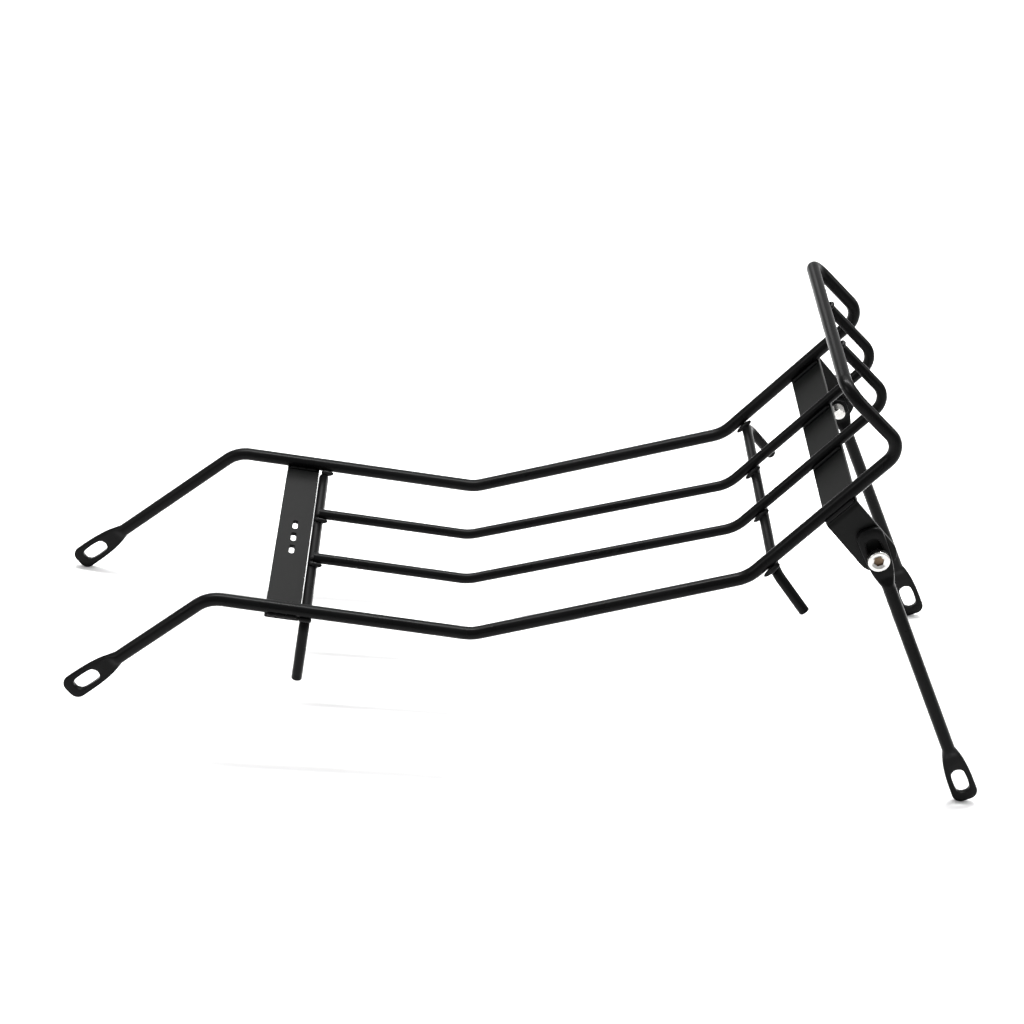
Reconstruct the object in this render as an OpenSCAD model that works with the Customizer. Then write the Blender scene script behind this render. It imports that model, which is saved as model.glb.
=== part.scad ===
// Rear luggage carrier for a small two-wheeler: one long bent steel rod forms both side rails,
// the front arms and the rear hook, two thinner rods fill the deck, and two slotted struts
// swing and slide on bolts at the ears of a bent strap.
// +X runs from the front arms to the rear hook, +Y to the right side, +Z up.
// The carrier stands on the right arm's tab and on both struts.

/* [Outer rod] */
// Diameter of the outer rod and of the struts
rod_d = 10; // [8:0.5:12]
// Width of the carrier, between the axes of the two side rails
rail_gap = 228; // [190:1:280]
// Length of the level front part of the deck, between bend points
flat_len = 196; // [150:1:260]
// Length of the middle slope, between bend points
rise_len = 208; // [160:1:260]
// Angle of the middle slope above the level part
rise_angle = 22.8; // [12:0.1:32]
// Length of the steep rear slope, between bend points
steep_len = 149.6; // [130:0.1:190]
// Angle of the steep rear slope above the level part
steep_angle = 54.6; // [42:0.1:62]
// Length of the hook, from its bend point to the top bar's axis
hook_len = 62.4; // [50:0.1:90]
// Angle of the hook above the level part
hook_angle = 142.6; // [130:0.1:155]
// Length of the left front arm, from its bend point to the slot's centre
left_arm_len = 117.7; // [90:0.1:150]
// Length of the right front arm, from its bend point to the slot's centre
right_arm_len = 153.3; // [120:0.1:200]
// Angle of both front arms below the level part
arm_angle = 45.8; // [35:0.1:55]
// Bend radius of the rod's axis where the arms start
arm_bend_r = 25; // [15:1:35]
// Bend radius of the rod's axis at both deck bends
deck_bend_r = 30; // [15:1:50]
// Bend radius of the rod's axis in the rear hook
hook_bend_r = 15; // [12:1:22]
// Bend radius of the rod's axis at the top bar's corners
top_bend_r = 17; // [12:1:25]

/* [Inner rods] */
// Diameter of the two inner rods
inner_d = 8; // [6:0.5:10]
// Distance between the axes of the two inner rods
inner_gap = 68.6; // [50:0.1:100]
// How far in front of the outer rod's bends the inner rods bend
inner_bend_lead = 4; // [0:0.5:8]

/* [Front plate] */
// Width of the front plate along the carrier
plate_w = 26; // [20:1:35]
// Thickness of the front plate
plate_t = 3; // [2:0.5:5]
// How far the plate's ends reach past the rails' axes
plate_over = 3; // [1:0.5:5]
// Width of each cut-out in the front plate
cut_w = 4; // [2:0.5:5]
// Length of each cut-out in the front plate
cut_len = 13; // [8:1:18]
// Distance between the middles of neighbouring cut-outs
cut_pitch = 19; // [15:1:24]

/* [Cross rods] */
// Diameter of the two cross rods
cross_d = 8; // [6:0.5:10]
// Distance from the arms' bend point back to the front cross rod's axis
front_rod_pos = 72.5; // [60:0.5:90]
// Length of the front pegs below the front cross rod's axis
front_peg_len = 51; // [35:1:65]
// Bend radius of the front pegs' axis
front_peg_bend_r = 9; // [7:1:14]
// Distance along the steep slope from its bend point to the middle cross rod's axis
mid_rod_pos = 18; // [14:0.5:22]
// Length of the middle pegs from the middle cross rod's axis
mid_peg_len = 39.5; // [30:0.5:48]
// Angle of the middle pegs below level
mid_peg_angle = 44; // [35:1:55]
// Angle by which the middle pegs lean outwards
mid_peg_splay = 12; // [0:1:16]
// Bend radius of the middle pegs' axis
mid_peg_bend_r = 12; // [8:1:14]
// Length of the chamfer around each peg's end
peg_chamfer = 1; // [0.5:0.25:2]

/* [Rear strap] */
// Distance along the steep slope from its bend point to the strap's front edge
strap_pos = 70.8; // [60:0.1:80]
// Width of the strap along the slope
strap_w = 28.6; // [22:0.1:36]
// Thickness of the strap
strap_t = 3; // [2:0.5:4]
// Distance from a rail's side to the outer face of the ear
ear_gap = 2.7; // [2.2:0.1:6]
// Inner radius of the bend between the strap and each ear
ear_bend_r = 2; // [1:0.5:3]
// Distance from the steep slope's rod axis down to the bolt's axis
ear_drop = 48.8; // [42:0.1:60]
// Angle by which each ear leans down from square to the slope
ear_lean = 6; // [0:0.5:10]

/* [Tabs and struts] */
// Metal left on each side of a slot
slot_wall = 4.4; // [3.5:0.1:6]
// Thickness of each flattened tab
tab_t = 4.5; // [3:0.5:6]
// Distance from the slot's centre to the tab's blunt end
tab_end = 18.8; // [17:0.1:24]
// Length over which a flat tab grows into the round rod
taper_len = 10.8; // [8:0.2:16]
// Corner radius of the tab's blunt end
tab_corner_r = 7; // [3:0.5:8]
// How far a bolt can be moved along its slot
slot_travel = 11; // [8:0.5:14]
// Distance between the slot centres of a strut
strut_len = 210.5; // [160:0.5:260]
// Angle of the struts below the level part of the deck
strut_angle = 59.1; // [50:0.1:75]
// How much further out the strut's lower tab stands than its upper tab
strut_spread = 10; // [6:1:16]

/* [Pivot bolts] */
// Diameter of the pivot bolt's shank
bolt_d = 10; // [8:0.5:12]
// Length of the pivot bolt below its head
bolt_len = 25; // [22:1:30]
// How far the bolt's head reaches past the shank all round
head_over = 3; // [2.5:0.5:4]
// Height of the bolt's head
head_h = 6; // [5:0.5:8]
// Width across the flats of the hexagonal key socket
key_w = 7; // [5:1:8]
// Depth of the key socket
key_depth = 3.5; // [2:0.5:4]
// Metal left between the weld nut's flats and its bore
nut_wall = 3; // [2.5:0.5:4]
// Height of the weld nut
nut_h = 8; // [6:0.5:9]

/* [Fits and welds] */
// Radial clearance of the bolt in the weld nut
nut_clear = 0.08; // [0.05:0.01:0.1]
// Radial clearance of the bolt in the ear's hole
ear_clear = 0.3; // [0.25:0.05:0.5]
// Clearance between the bolt and the slot's end, and between faces that slide
slide_clear = 0.3; // [0.2:0.05:0.4]
// How much wider each slot is than its bolt
slot_clear = 1; // [0.7:0.1:1.5]
// How deep rods and plates sink into each other where they are welded
weld_sink = 0.2; // [0.1:0.05:0.4]
// Diameter of the weld beads at the crossings of the rods
bead_d = 4; // [3:0.5:5]
// Diameter of the thin weld beads on the plate and on the strap
thin_bead_d = 3.5; // [3:0.5:4]
// Diameter of the weld beads at the top bar and around the weld nuts
small_bead_d = 3; // [2:0.5:4]

/* [Hidden] */
$fn = 64;

// Each joint between two pieces of rod holds a ball this much wider than the rod.
joint_swell = 0.02;
// The same where a strut's rod leaves its tab at an angle
kink_swell = 0.2;

black = "#1c1c1d";
steel = "#c9c9c6";
rod_r = rod_d / 2;
inner_r = inner_d / 2;
cross_r = cross_d / 2;
rail_y = rail_gap / 2;
inner_y = inner_gap / 2;
slot_w = bolt_d + slot_clear;
slot_len = slot_w + slot_travel;
tab_w = slot_w + 2 * slot_wall;
head_d = bolt_d + 2 * head_over;
nut_w = bolt_d + 2 * nut_wall;

// Points in the side view are [x, z]; the level part's rear bend point is [0, 0].
function along(a) = [cos(a), sin(a)];
function below(a) = [sin(a), -cos(a)];
function spot(p, y) = [p[0], y, p[1]];

arm_bend = [-flat_len, 0];
deck_bend = [0, 0];
steep_bend = rise_len * along(rise_angle);
hook_bend = steep_bend + steep_len * along(steep_angle);
top_bar = hook_bend + hook_len * along(hook_angle);
function arm_slot(len) = arm_bend + len * along(180 + arm_angle);
function on_steep(s, h) = steep_bend + s * along(steep_angle) + h * below(steep_angle);

// The inner rods lie on the same cross members as the outer rod, so their axes sit lower.
inner_drop = rod_r - inner_r;
function drop_at(a, b) = inner_drop / cos((b - a) / 2) * below((a + b) / 2);
inner_deck_bend = deck_bend + drop_at(0, rise_angle) - [inner_bend_lead, 0];
inner_steep_bend = steep_bend + drop_at(rise_angle, steep_angle)
    - inner_bend_lead * along(steep_angle);
inner_hook_bend = hook_bend + drop_at(steep_angle, hook_angle);
butt_depth = 1;
inner_end = inner_hook_bend + (hook_len - rod_r + butt_depth) * along(hook_angle);

cross_drop = rod_r + cross_r - weld_sink;
front_rod = arm_bend + [front_rod_pos, -cross_drop];
mid_rod = on_steep(mid_rod_pos, cross_drop);
inner_start = [front_rod[0], -inner_drop];
plate_rod_gap = 0.3;
plate_rear = front_rod[0] - cross_r - plate_rod_gap;
plate_top = -rod_r + weld_sink;

strap_top = rod_r - weld_sink;
strap_mid = strap_pos + strap_w / 2;
ear_y = rail_y + rod_r + ear_gap;
ear_bend_out = ear_bend_r + strap_t;
ear_start = strap_top + ear_bend_out;
bolt_s = strap_mid - (ear_drop - ear_start) * tan(ear_lean);
bolt_axis = on_steep(bolt_s, ear_drop);
ear_r = strap_w * cos(ear_lean) / 2;

// At rest the bolt sits at the lower end of the upper slot.
bolt_seat = (slot_len - bolt_d) / 2 - slide_clear;
strut_dir = along(-strut_angle);
// The tab stays flat until it is past the ear's rim, so that the strut can swing.
tab_neck = ear_r + bolt_seat + slide_clear + taper_len;
strut_top = bolt_axis - bolt_seat * strut_dir;
strut_foot = strut_top + strut_len * strut_dir;
tab_y = ear_y + slide_clear + tab_t / 2;
head_y = ear_y + 2 * slide_clear + tab_t;

// The stance: the right arm's tab and the struts' lower tabs touch the ground together.
corner_back = tab_end - tab_corner_r;
corner_side = tab_w / 2 - tab_corner_r;
function tab_corner(p, a, side) = p + corner_back * along(a) + side * corner_side * along(a + 90);
arm_corner = tab_corner(arm_slot(right_arm_len), 180 + arm_angle, 1);
arm_nose = tab_corner(arm_slot(right_arm_len), 180 + arm_angle, -1);
strut_corner = tab_corner(strut_foot, -strut_angle, -1);
strut_nose = tab_corner(strut_foot, -strut_angle, 1);
stance = atan2(strut_corner[1] - arm_corner[1], strut_corner[0] - arm_corner[0]);
function level_x(p) = p[0] * cos(stance) + p[1] * sin(stance);
function level_z(p) = p[1] * cos(stance) - p[0] * sin(stance);
mid_x = (min(level_x(arm_nose), level_x(arm_corner)) + max(level_x(strut_nose), level_x(strut_corner))) / 2;
ground_z = level_z(arm_corner) - tab_corner_r;

module stand() {
    translate([-mid_x, 0, -ground_z])
        rotate([0, stance, 0])
            children();
}

// A shape drawn in the side view, [x, z], and made thick along Y between y0 and y1
module side_slab(y0, y1) {
    translate([0, y1, 0])
        rotate([90, 0, 0])
            linear_extrude(y1 - y0)
                children();
}

// Moves a child drawn along +X so that it starts at p in the side view and runs at angle a
module placed(p, y, a) {
    translate(spot(p, y))
        rotate([0, -a, 0])
            children();
}

function unit(v) = v / norm(v);

// Moves a child drawn along +Z so that it starts at point p and runs along v
module aimed(p, v) {
    translate(p)
        rotate([0, acos(v[2] / norm(v)), atan2(v[1], v[0])])
            children();
}

// A straight piece of rod from a to b
module bar(a, b, d) {
    aimed(a, b - a)
        cylinder(d = d, h = norm(b - a));
}

// The ball that joins two pieces of rod at point p, where the rod runs along v
module joint_ball(p, v, d, swell = joint_swell) {
    aimed(p, v)
        sphere(d = d + swell);
}

// A round bend at corner p, from direction u to direction v, with axis radius r
module bend(p, u, v, r, d) {
    turn = acos(u * v);
    inward = unit(v - (u * v) * u);
    centre = p - r * tan(turn / 2) * u + r * inward;
    z = cross(-inward, u);
    multmatrix([
        [-inward[0], u[0], z[0], centre[0]],
        [-inward[1], u[1], z[1], centre[1]],
        [-inward[2], u[2], z[2], centre[2]],
        [0, 0, 0, 1]
    ])
        rotate_extrude(angle = turn)
            translate([r, 0])
                circle(d = d);
}

// A rod along the points, bent with radius radii[i] at point i
module bent_rod(points, radii, d) {
    last = len(points) - 1;
    dirs = [for (i = [1:last]) unit(points[i] - points[i - 1])];
    function cut(i) = i == 0 || i == last ? 0
        : radii[i] * tan(acos(dirs[i - 1] * dirs[i]) / 2);
    for (i = [1:last])
        bar(points[i - 1] + cut(i - 1) * dirs[i - 1], points[i] - cut(i) * dirs[i - 1], d);
    for (i = [1:last - 1]) {
        bend(points[i], dirs[i - 1], dirs[i], radii[i], d);
        for (v = [-dirs[i - 1], dirs[i]])
            joint_ball(points[i] + cut(i) * v, v, d);
    }
}

// Half the width of a tab at x from its slot's centre, towards the rod
function tab_half(x) = rod_r + (tab_w / 2 - rod_r)
    * (1 - pow((x + corner_back) / (tab_neck + corner_back), 3));

module tab_outline() {
    steps = 14;
    side = [for (i = [0:steps])
        let (x = tab_neck - (tab_neck + corner_back) * i / steps)
        [x, tab_half(x)]];
    corner = [for (a = [100:10:180])
        [-corner_back + tab_corner_r * cos(a), corner_side + tab_corner_r * sin(a)]];
    upper = concat(side, corner);
    count = len(upper);
    lower = [for (i = [count - 1:-1:0]) [upper[i][0], -upper[i][1]]];
    polygon(concat(upper, lower));
}

module slot_outline() {
    for (side = [-1, 1])
        translate([side * (slot_len - slot_w) / 2, 0])
            circle(d = slot_w);
    square([slot_len - slot_w, slot_w], center = true);
}

// A forged tab with its slot's centre at the origin and the rod leaving along +X
module tab() {
    edge = rod_r + 0.01;
    difference() {
        union() {
            side_slab(-tab_t / 2, tab_t / 2)
                tab_outline();
            translate([tab_neck - taper_len, 0, 0])
                intersection() {
                    rotate([0, 90, 0])
                        cylinder(d = rod_d, h = taper_len);
                    linear_extrude(2 * rod_d, center = true)
                        polygon([
                            [0, -tab_t / 2], [0, tab_t / 2],
                            [taper_len, edge], [taper_len, -edge]
                        ]);
                }
        }
        side_slab(-tab_t, tab_t)
            slot_outline();
    }
}

function rail(side, arm_len) = [
    spot(arm_bend + (arm_len - tab_neck) * along(180 + arm_angle), side * rail_y),
    spot(arm_bend, side * rail_y),
    spot(deck_bend, side * rail_y),
    spot(steep_bend, side * rail_y),
    spot(hook_bend, side * rail_y),
    spot(top_bar, side * rail_y)
];

module outer_rod() {
    left = rail(-1, left_arm_len);
    right = rail(1, right_arm_len);
    radii = [0, arm_bend_r, deck_bend_r, deck_bend_r, hook_bend_r, top_bend_r];
    color(black)
        stand() {
            bent_rod(
                concat(left, [for (i = [5:-1:0]) right[i]]),
                concat(radii, [for (i = [5:-1:0]) radii[i]]),
                rod_d
            );
            placed(arm_slot(left_arm_len), -rail_y, arm_angle)
                tab();
            placed(arm_slot(right_arm_len), rail_y, arm_angle)
                tab();
            for (points = [left, right])
                joint_ball(points[0], points[1] - points[0], rod_d);
        }
}

module inner_rod(side) {
    y = side * inner_y;
    color(black)
        stand()
            bent_rod(
                [
                    spot(inner_start, y), spot(inner_deck_bend, y), spot(inner_steep_bend, y),
                    spot(inner_hook_bend, y), spot(inner_end, y)
                ],
                [0, deck_bend_r, deck_bend_r, hook_bend_r, 0],
                inner_d
            );
}

// Three plain round-ended cut-outs in a row mark the middle of the plate.
module front_plate() {
    half = rail_y + plate_over;
    color(black)
        stand()
            difference() {
                translate([plate_rear - plate_w, -half, plate_top - plate_t])
                    cube([plate_w, 2 * half, plate_t]);
                for (i = [-1:1])
                    translate([plate_rear - plate_w / 2, i * cut_pitch, plate_top - 2 * plate_t])
                        linear_extrude(3 * plate_t) {
                            square([cut_w, cut_len - cut_w], center = true);
                            for (end = [-1, 1])
                                translate([0, end * (cut_len - cut_w) / 2])
                                    circle(d = cut_w);
                        }
            }
}

// Cuts the chamfer around a peg's end at point p, where the peg leaves along unit vector v
module peg_edge_cut(p, v) {
    aimed(p, v)
        rotate_extrude()
            polygon([
                [cross_r - peg_chamfer - 1, 1], [cross_r + 1, 1],
                [cross_r + 1, -peg_chamfer - 1]
            ]);
}

// A cross rod through the point p of the side view, with a peg along peg_dir at each end
module pegged_rod(p, bend_y, peg_dir, peg_len, bend_r) {
    left_dir = [peg_dir[0], -peg_dir[1], peg_dir[2]];
    left = spot(p, -bend_y);
    right = spot(p, bend_y);
    left_end = left + peg_len * left_dir;
    right_end = right + peg_len * peg_dir;
    difference() {
        bent_rod([left_end, left, right, right_end], [0, bend_r, bend_r, 0], cross_d);
        peg_edge_cut(left_end, left_dir);
        peg_edge_cut(right_end, peg_dir);
    }
}

module front_cross_rod() {
    color(black)
        stand()
            pegged_rod(front_rod, rail_y, [0, 0, -1], front_peg_len, front_peg_bend_r);
}

mid_peg_dir = [
    cos(mid_peg_splay) * cos(mid_peg_angle),
    sin(mid_peg_splay),
    -cos(mid_peg_splay) * sin(mid_peg_angle)
];

module mid_cross_rod() {
    color(black)
        stand()
            pegged_rod(mid_rod, rail_y + 1, mid_peg_dir, mid_peg_len, mid_peg_bend_r);
}

// The ear in the side view of the steep slope: x along the slope, y down from the rods' axes
module ear_outline() {
    lean = [-sin(ear_lean), cos(ear_lean)];
    out = ear_r * [cos(ear_lean), sin(ear_lean)];
    end = [bolt_s, ear_drop];
    difference() {
        union() {
            polygon([
                [strap_pos, ear_start], end - out, end + out, [strap_pos + strap_w, ear_start]
            ]);
            translate(end)
                circle(r = ear_r);
        }
        translate(end)
            circle(r = bolt_d / 2 + ear_clear);
    }
}

module rear_strap() {
    flat_half = ear_y - ear_bend_out;
    color(black)
        stand()
            placed(steep_bend, 0, steep_angle) {
                translate([strap_pos, -flat_half, -strap_top - strap_t])
                    cube([strap_w, 2 * flat_half, strap_t]);
                for (side = [0, 1])
                    mirror([0, side, 0]) {
                        translate([strap_pos, flat_half, -ear_start])
                            rotate([90, 0, 90])
                                rotate_extrude(angle = 90)
                                    translate([ear_bend_r, 0])
                                        square([strap_t, strap_w]);
                        side_slab(ear_y - strap_t, ear_y)
                            mirror([0, 1])
                                ear_outline();
                    }
            }
}

module weld_nut(side) {
    chamfer = 1;
    corner_d = nut_w / cos(30);
    color(black)
        stand()
            translate(spot(bolt_axis, side * (ear_y - strap_t)))
                rotate([side * 90, 0, 0])
                    difference() {
                        intersection() {
                            cylinder(d = corner_d, h = nut_h, $fn = 6);
                            union() {
                                cylinder(d = corner_d + chamfer, h = nut_h - chamfer);
                                translate([0, 0, nut_h - chamfer])
                                    cylinder(
                                        d1 = corner_d + chamfer,
                                        d2 = corner_d - 2 * chamfer,
                                        h = chamfer
                                    );
                            }
                        }
                        translate([0, 0, -1])
                            cylinder(r = bolt_d / 2 + nut_clear, h = nut_h + 2);
                    }
}

// The bolt enters from outside, through the strut's slot and the ear, into the weld nut.
module pivot_bolt(side) {
    edge = 1;
    color(steel)
        stand()
            translate(spot(bolt_axis, side * head_y))
                rotate([side * 90, 0, 0])
                    difference() {
                        union() {
                            cylinder(d = bolt_d, h = bolt_len - edge);
                            translate([0, 0, bolt_len - edge])
                                cylinder(d1 = bolt_d, d2 = bolt_d - 2 * edge, h = edge);
                            translate([0, 0, edge - head_h])
                                cylinder(d = head_d, h = head_h - edge);
                            translate([0, 0, -head_h])
                                cylinder(d1 = head_d - 2 * edge, d2 = head_d, h = edge);
                        }
                        translate([0, 0, -head_h - 1])
                            cylinder(d = key_w / cos(30), h = key_depth + 1, $fn = 6);
                    }
}

// The left strut, as it hangs from its bolt; the right one is its mirror image
module left_strut_shape() {
    foot_y = tab_y + strut_spread;
    rod_start = spot(strut_top + tab_neck * strut_dir, -tab_y);
    rod_end = spot(strut_foot - tab_neck * strut_dir, -foot_y);
    stand() {
        placed(strut_top, -tab_y, -strut_angle)
            tab();
        placed(strut_foot, -foot_y, 180 - strut_angle)
            tab();
        bar(rod_start, rod_end, rod_d);
        for (p = [rod_start, rod_end])
            joint_ball(p, rod_end - rod_start, rod_d, kink_swell);
    }
}

module left_strut() {
    color(black)
        left_strut_shape();
}

module right_strut() {
    color(black)
        mirror([0, 1, 0])
            left_strut_shape();
}

// A weld bead: a round-ended stick of metal from a to b
module bead(a, b, d) {
    bar(a, b, d);
    for (p = [a, b])
        translate(p)
            sphere(d = d);
}

// The side position and radius of every rod in the deck
rods = [[-rail_y, rod_r], [-inner_y, inner_r], [inner_y, inner_r], [rail_y, rod_r]];

// Beads along both sides of each outer rail, on top of the plate
module front_plate_welds() {
    sink = 1;
    end_gap = 4;
    z = plate_top + sink / 2;
    color(black)
        stand()
            for (side = [-1, 1], face = [-1, 1]) {
                y = side * (rail_y + face * (rod_r - sink));
                bead(
                    [plate_rear - plate_w + end_gap, y, z], [plate_rear - end_gap, y, z],
                    thin_bead_d
                );
            }
}

// Short beads on both sides of each rod, across the front cross rod's rear half
module front_rod_welds() {
    sink = 0.4;
    past = 1;
    z = sink - rod_r;
    color(black)
        stand() {
            for (rod = rods, face = [-1, 1])
                if (rod[0] * face < 0 || rod[1] == inner_r) {
                    y = rod[0] + face * (rod[1] + sink / 2);
                    bead([front_rod[0], y, z], [front_rod[0] + cross_r + past, y, z], bead_d);
                }
            for (side = [-1, 1]) {
                y = side * (rail_y + cross_r - 2 * sink);
                half = cross_r - past;
                bead([front_rod[0] - half, y, z - past], [front_rod[0] + half, y, z - past], bead_d);
            }
        }
}

// Beads in the corners between the middle cross rod and the rods that lie on it
module mid_rod_welds() {
    sink = 0.6;
    past = 1;
    reach = (cross_r + past) * along(steep_angle);
    top = mid_rod - (cross_r - sink) * below(steep_angle);
    color(black)
        stand()
            for (rod = rods, face = [-1, 1]) {
                y = rod[0] + face * (rod[1] + sink / 3);
                bead(spot(top - reach, y), spot(top + reach, y), bead_d);
            }
}

// Beads along every rod on top of the strap
module rear_strap_welds() {
    sink = 0.6;
    end_gap = 3;
    h = strap_top - sink;
    color(black)
        stand()
            for (rod = rods, face = [-1, 1]) {
                y = rod[0] + face * (rod[1] - sink);
                bead(
                    spot(on_steep(strap_pos + end_gap, h), y),
                    spot(on_steep(strap_pos + strap_w - end_gap, h), y),
                    thin_bead_d
                );
            }
}

// A ring of weld where each inner rod meets the top bar
module top_bar_welds() {
    lift = 0.4;
    p = top_bar - (rod_r + lift) * along(hook_angle) + inner_drop * below(hook_angle);
    color(black)
        stand()
            for (side = [-1, 1])
                translate(spot(p, side * inner_y))
                    rotate([0, 90 - hook_angle, 0])
                        rotate_extrude()
                            translate([inner_r, 0])
                                circle(d = small_bead_d);
}

// Three short beads around each weld nut, on the ear's inner face
module weld_nut_welds() {
    lift = 0.4;
    half = 2.5;
    color(black)
        stand()
            for (side = [-1, 1], a = [90, 210, 330])
                translate(spot(
                    bolt_axis + (nut_w / 2 + lift) * along(a),
                    side * (ear_y - strap_t - lift / 2)
                ))
                    rotate([0, -a, 0])
                        bead([0, 0, -half], [0, 0, half], small_bead_d);
}

outer_rod();
inner_rod(-1);  // left_inner_rod
inner_rod(1);  // right_inner_rod
front_plate();
front_cross_rod();
mid_cross_rod();
rear_strap();
weld_nut(-1);  // left_weld_nut
weld_nut(1);  // right_weld_nut
pivot_bolt(-1);  // left_pivot_bolt
pivot_bolt(1);  // right_pivot_bolt
left_strut();
right_strut();
front_plate_welds();
front_rod_welds();
mid_rod_welds();
rear_strap_welds();
top_bar_welds();
weld_nut_welds();
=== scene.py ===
"""Rear luggage carrier: bent black rods with a plate, a strap, and two struts on silver pivot bolts."""

from math import atan2, cos, pi, radians, sin, tan

import bmesh
import bpy
from mathutils import Matrix, Vector


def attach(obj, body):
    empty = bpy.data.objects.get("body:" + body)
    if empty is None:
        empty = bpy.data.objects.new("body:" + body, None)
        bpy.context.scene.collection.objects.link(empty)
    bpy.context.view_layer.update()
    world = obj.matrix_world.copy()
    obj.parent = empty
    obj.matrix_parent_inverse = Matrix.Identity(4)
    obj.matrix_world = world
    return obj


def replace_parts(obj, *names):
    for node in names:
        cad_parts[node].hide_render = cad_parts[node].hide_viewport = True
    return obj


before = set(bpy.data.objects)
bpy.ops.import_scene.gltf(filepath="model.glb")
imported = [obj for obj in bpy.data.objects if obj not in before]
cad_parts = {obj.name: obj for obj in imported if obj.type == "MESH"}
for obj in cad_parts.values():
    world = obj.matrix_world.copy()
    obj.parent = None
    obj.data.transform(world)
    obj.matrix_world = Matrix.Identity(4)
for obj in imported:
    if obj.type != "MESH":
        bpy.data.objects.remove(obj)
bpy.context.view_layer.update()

# ---------------------------------------------------------------- outer rod
# One 10 mm steel rod, bent cold into both side rails, the front arms and the rear hook.
# Both ends are hot-forged flat and punched with a slot, then the whole carrier is coated
# in satin black powder. It carries every other part, so the sizes all start from its bends.
ROD_D, RAIL_Y = 10.0, 114.0
ARM_BEND = Vector((-196.0, 0, 0))
DECK_BEND = Vector((0, 0, 0))
RISE, STEEP, HOOK, ARM = 22.8, 54.6, 142.6, 45.8
ROD_SIDES = 40
STANCE, MID_X, GROUND_Z = 4.22219, 32.6745, -104.305


def along(angle):
    """The direction in the side view at this angle above the level part of the deck."""
    return Vector((cos(radians(angle)), 0, sin(radians(angle))))


def below(angle):
    return Vector((sin(radians(angle)), 0, -cos(radians(angle))))


def beside(point, y):
    return Vector((point.x, y, point.z))


STEEP_BEND = DECK_BEND + 208.0 * along(RISE)
HOOK_BEND = STEEP_BEND + 149.6 * along(STEEP)
HOOK_LEN = 62.4
TOP_BAR = HOOK_BEND + HOOK_LEN * along(HOOK)


def stand_up(bm):
    """From millimetres square to the deck's level part, to metres as the carrier stands."""
    bmesh.ops.transform(
        bm,
        verts=bm.verts,
        matrix=Matrix.Scale(0.001, 4)
        @ Matrix.Translation((-MID_X, 0, -GROUND_Z))
        @ Matrix.Rotation(radians(STANCE), 4, "Y"),
    )


def facing(direction, point, up="Y"):
    """A placing whose Z runs along the direction from the point."""
    turned = direction.to_track_quat("Z", up).to_matrix().to_4x4()
    return Matrix.Translation(point) @ turned


def edge_ring(bm, point, direction, radius, sides=ROD_SIDES, up="Y"):
    made = bmesh.ops.create_circle(
        bm, segments=sides, radius=radius, matrix=facing(direction, point, up)
    )
    return sorted({e for v in made["verts"] for e in v.link_edges}, key=lambda e: e.index)


def corners(edges):
    return list({v for e in edges for v in e.verts})


def pull(bm, edges, move):
    """Draws a ring of edges out along a move and returns the new ring."""
    made = bmesh.ops.extrude_edge_only(bm, edges=edges)["geom"]
    bmesh.ops.translate(
        bm, verts=[g for g in made if isinstance(g, bmesh.types.BMVert)], vec=move
    )
    return [g for g in made if isinstance(g, bmesh.types.BMEdge)]


def follow(bm, ring, points, radii, stop=0.0):
    """Draws a ring along the points, with a bend of the given radius at each corner."""
    here = points[0]
    for i in range(1, len(points)):
        into = (points[i] - points[i - 1]).normalized()
        if i == len(points) - 1:
            return pull(bm, ring, points[i] - stop * into - here)
        out = (points[i + 1] - points[i]).normalized()
        turn = into.angle(out)
        cut = radii[i] * tan(turn / 2)
        start = points[i] - cut * into
        ring = pull(bm, ring, start - here)
        inward = (out - out.dot(into) * into).normalized()
        made = bmesh.ops.spin(
            bm,
            geom=ring + corners(ring),
            cent=start + radii[i] * inward,
            axis=into.cross(out).normalized(),
            angle=turn,
            steps=max(6, int(turn * radii[i] / 2)),
            use_duplicate=False,
        )["geom_last"]
        ring = [g for g in made if isinstance(g, bmesh.types.BMEdge)]
        here = points[i] + cut * out


def close_end(bm, ring, direction, radius, edge):
    """Closes a rod's sawn end, with its edge filed round."""
    steps = 4
    centre = sum((v.co for v in corners(ring)), Vector()) / len(corners(ring))
    for i in range(1, steps + 1):
        a = pi / 2 * i / steps
        target = radius - edge * (1 - cos(a))
        ahead = edge * sin(a)
        ring = pull(bm, ring, Vector())
        for v in corners(ring):
            spoke = v.co - centre
            spoke -= spoke.dot(direction) * direction
            v.co = centre + spoke.normalized() * target + direction * ahead
    bmesh.ops.edgeloop_fill(bm, edges=ring)


TAB_T, TAB_END, TAB_NECK, TAB_CORNER, TAPER_LEN = 4.5, 18.8, 31.02, 7.0, 10.8
SLOT_W, SLOT_LEN, TAB_WALL = 11.0, 22.0, 4.4
TAB_W = SLOT_W + 2 * TAB_WALL
CORNER_BACK = TAB_END - TAB_CORNER
FLAT_STEPS, RIM_STEPS = 14, 6


def tab_half(x):
    """Half the tab's width at a distance from its slot's centre."""
    share = ((x + CORNER_BACK) / (TAB_NECK + CORNER_BACK)) ** 3
    return ROD_D / 2 + (TAB_W - ROD_D) / 2 * (1 - share)


def drawn(bm, row, places, closed=True):
    """Extrudes a row of vertices to new places and returns the new row in the same order."""
    first = 0 if closed else 1
    edges = [bm.edges.get((row[i - 1], row[i])) for i in range(first, len(row))]
    made = bmesh.ops.extrude_edge_only(bm, edges=edges)["geom"]
    order = {v: i for i, v in enumerate(row)}
    new = [None] * len(row)
    for v in (g for g in made if isinstance(g, bmesh.types.BMVert)):
        for e in v.link_edges:
            if e.other_vert(v) in order:
                new[order[e.other_vert(v)]] = v
    for v, place in zip(new, places):
        v.co = place
    return new


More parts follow.
